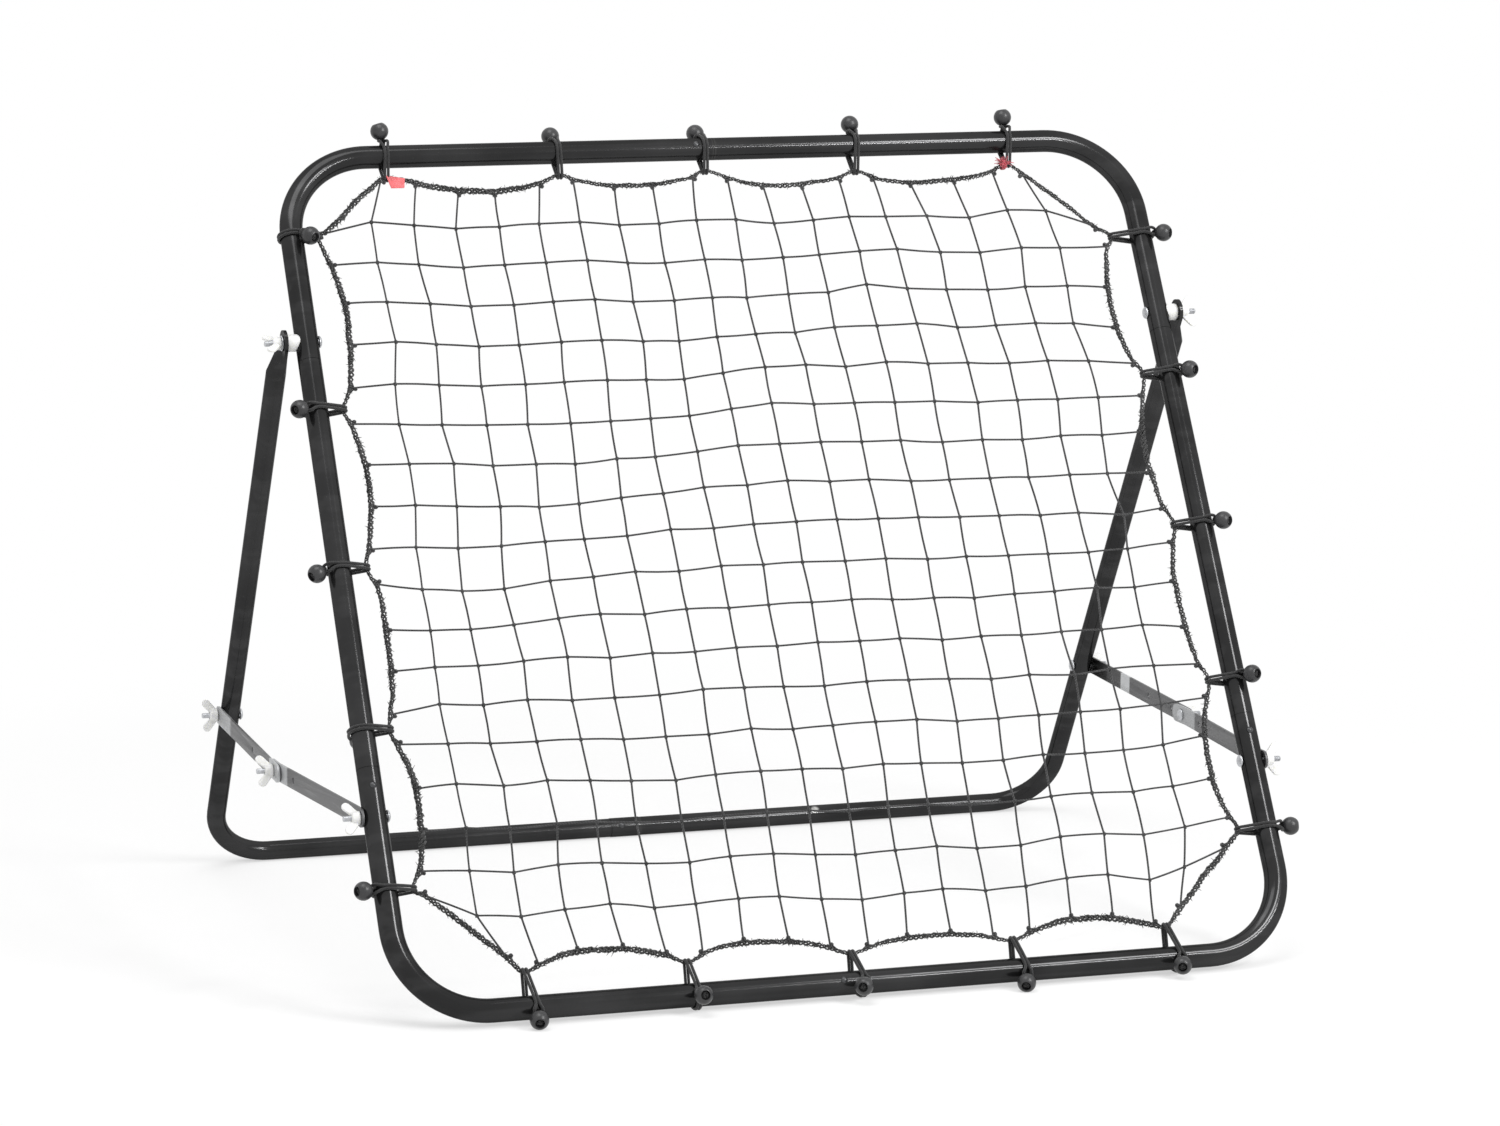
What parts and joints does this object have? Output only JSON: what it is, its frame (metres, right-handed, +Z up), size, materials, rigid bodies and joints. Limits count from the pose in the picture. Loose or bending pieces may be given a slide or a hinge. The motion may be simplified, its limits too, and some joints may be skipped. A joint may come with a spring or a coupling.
{
  "type": "pitch back rebounder",
  "caption": "Free-standing ball rebounder: a leaning square tube frame with a net on elastic loops, a folding rear stand, hinged side braces and wing nuts.",
  "frame": {"origin": "on the floor, in the middle of the object's bounding box", "axes": "+X across the frame to the right as seen from its front, +Y to the rear, +Z up"},
  "size_m": [1.0532, 0.8259, 0.8435],
  "materials": {
    "black_paint": "gloss black powder coat",
    "brace_steel": "dark zinc plate",
    "zinc_steel": "bright zinc plate",
    "white_plastic": "translucent natural plastic",
    "net_cord": "twisted synthetic cord",
    "border_rope": "fuzzy laid rope",
    "elastic_cord": "braided elastic",
    "grey_plastic": "moulded, satin",
    "red_plastic": "moulded, satin",
    "red_ribbon": "woven"
  },
  "bodies": {
    "front_frame": {"top_left_tube": "black_paint", "top_right_tube": "black_paint", "bottom_left_tube": "black_paint", "bottom_right_tube": "black_paint", "left_side_tube": "black_paint", "right_side_tube": "black_paint", "pivot_bolts": "zinc_steel", "pivot_spacers": "white_plastic", "pivot_washers": "zinc_steel", "post_bolts": "zinc_steel", "net": "net_cord", "border_rope": "border_rope", "top_loops": "elastic_cord", "bottom_loops": "elastic_cord", "left_loops": "elastic_cord", "right_loops": "elastic_cord", "top_balls": "grey_plastic", "bottom_balls": "grey_plastic", "left_balls": "grey_plastic", "right_balls": "grey_plastic", "corner_marker": "red_plastic", "corner_ribbon": "red_ribbon"},
    "stand": {"left_leg_tube": "black_paint", "right_leg_tube": "black_paint", "leg_bolts": "zinc_steel"},
    "left_front_brace": {"left_front_brace_bar": "brace_steel", "left_knee_head": "zinc_steel"},
    "left_rear_brace": {"left_rear_brace_bar": "brace_steel", "left_knee_bolt": "zinc_steel"},
    "right_front_brace": {"right_front_brace_bar": "brace_steel", "right_knee_head": "zinc_steel"},
    "right_rear_brace": {"right_rear_brace_bar": "brace_steel", "right_knee_bolt": "zinc_steel"},
    "left_pivot_wing_nut": {"left_pivot_wing_nut": "white_plastic"},
    "right_pivot_wing_nut": {"right_pivot_wing_nut": "white_plastic"},
    "left_post_wing_nut": {"left_post_wing_nut": "white_plastic"},
    "right_post_wing_nut": {"right_post_wing_nut": "white_plastic"},
    "left_leg_wing_nut": {"left_leg_wing_nut": "white_plastic"},
    "right_leg_wing_nut": {"right_leg_wing_nut": "white_plastic"},
    "left_knee_wing_nut": {"left_knee_wing_nut": "white_plastic"},
    "right_knee_wing_nut": {"right_knee_wing_nut": "white_plastic"},
    "top_snap_button": {"top_snap_button": "zinc_steel"},
    "bottom_snap_button": {"bottom_snap_button": "zinc_steel"},
    "left_snap_button": {"left_snap_button": "zinc_steel"},
    "right_snap_button": {"right_snap_button": "zinc_steel"},
    "rear_snap_button": {"rear_snap_button": "zinc_steel"}
  },
  "joints": [
    {"name": "stand_fold", "type": "hinge", "parent": "front_frame", "child": "stand", "pos_m": [0, 0.01192, 0.62874], "axis": [-1, 0, 0], "range_deg": [0, 52.6]},
    {"name": "left_front_brace_turn", "type": "hinge", "parent": "front_frame", "child": "left_front_brace", "pos_m": [-0.4815, -0.26488, 0.19089], "axis": [1, 0, 0], "range_deg": [0, 53.8]},
    {"name": "left_rear_brace_turn", "type": "hinge", "parent": "stand", "child": "left_rear_brace", "pos_m": [-0.508, 0.28871, 0.19089], "axis": [-1, 0, 0], "range_deg": [0, 53.8]},
    {"name": "right_front_brace_turn", "type": "hinge", "parent": "front_frame", "child": "right_front_brace", "pos_m": [0.4815, -0.26488, 0.19089], "axis": [1, 0, 0], "range_deg": [0, 53.8]},
    {"name": "right_rear_brace_turn", "type": "hinge", "parent": "stand", "child": "right_rear_brace", "pos_m": [0.508, 0.28871, 0.19089], "axis": [-1, 0, 0], "range_deg": [0, 53.8]},
    {"name": "left_pivot_wing_nut_spin", "type": "hinge", "parent": "front_frame", "child": "left_pivot_wing_nut", "pos_m": [-0.4997, 0.01192, 0.62874], "axis": [-1, 0, 0], "continuous": true},
    {"name": "left_post_wing_nut_spin", "type": "hinge", "parent": "front_frame", "child": "left_post_wing_nut", "pos_m": [-0.488, -0.26488, 0.19089], "axis": [-1, 0, 0], "continuous": true},
    {"name": "left_leg_wing_nut_spin", "type": "hinge", "parent": "stand", "child": "left_leg_wing_nut", "pos_m": [-0.514, 0.28871, 0.19089], "axis": [-1, 0, 0], "continuous": true},
    {"name": "left_knee_wing_nut_spin", "type": "hinge", "parent": "left_rear_brace", "child": "left_knee_wing_nut", "pos_m": [-0.514, 0.01192, 0.18489], "axis": [-1, 0, 0], "continuous": true},
    {"name": "right_pivot_wing_nut_spin", "type": "hinge", "parent": "front_frame", "child": "right_pivot_wing_nut", "pos_m": [0.4997, 0.01192, 0.62874], "axis": [1, 0, 0], "continuous": true},
    {"name": "right_post_wing_nut_spin", "type": "hinge", "parent": "front_frame", "child": "right_post_wing_nut", "pos_m": [0.488, -0.26488, 0.19089], "axis": [1, 0, 0], "continuous": true},
    {"name": "right_leg_wing_nut_spin", "type": "hinge", "parent": "stand", "child": "right_leg_wing_nut", "pos_m": [0.514, 0.28871, 0.19089], "axis": [1, 0, 0], "continuous": true},
    {"name": "right_knee_wing_nut_spin", "type": "hinge", "parent": "right_rear_brace", "child": "right_knee_wing_nut", "pos_m": [0.514, 0.01192, 0.18489], "axis": [1, 0, 0], "continuous": true},
    {"name": "top_snap_button_press", "type": "slide", "parent": "front_frame", "child": "top_snap_button", "axis": [0, 0.8453, -0.5344], "range_m": [0, 0.0034], "stiffness_N_per_m": 600},
    {"name": "bottom_snap_button_press", "type": "slide", "parent": "front_frame", "child": "bottom_snap_button", "axis": [0, 0.8453, -0.5344], "range_m": [0, 0.0034], "stiffness_N_per_m": 600},
    {"name": "left_snap_button_press", "type": "slide", "parent": "front_frame", "child": "left_snap_button", "axis": [0, 0.8453, -0.5344], "range_m": [0, 0.0034], "stiffness_N_per_m": 600},
    {"name": "right_snap_button_press", "type": "slide", "parent": "front_frame", "child": "right_snap_button", "axis": [0, 0.8453, -0.5344], "range_m": [0, 0.0034], "stiffness_N_per_m": 600},
    {"name": "rear_snap_button_press", "type": "slide", "parent": "stand", "child": "rear_snap_button", "axis": [0, 0.9085, -0.4179], "range_m": [0, 0.0034], "stiffness_N_per_m": 600}
  ],
  "couplings": [
    {"joint": "left_front_brace_turn", "follows": "stand_fold", "ratio": 1.0202},
    {"joint": "left_rear_brace_turn", "follows": "stand_fold", "ratio": 1.0202},
    {"joint": "right_front_brace_turn", "follows": "stand_fold", "ratio": 1.0202},
    {"joint": "right_rear_brace_turn", "follows": "stand_fold", "ratio": 1.0202}
  ]
}
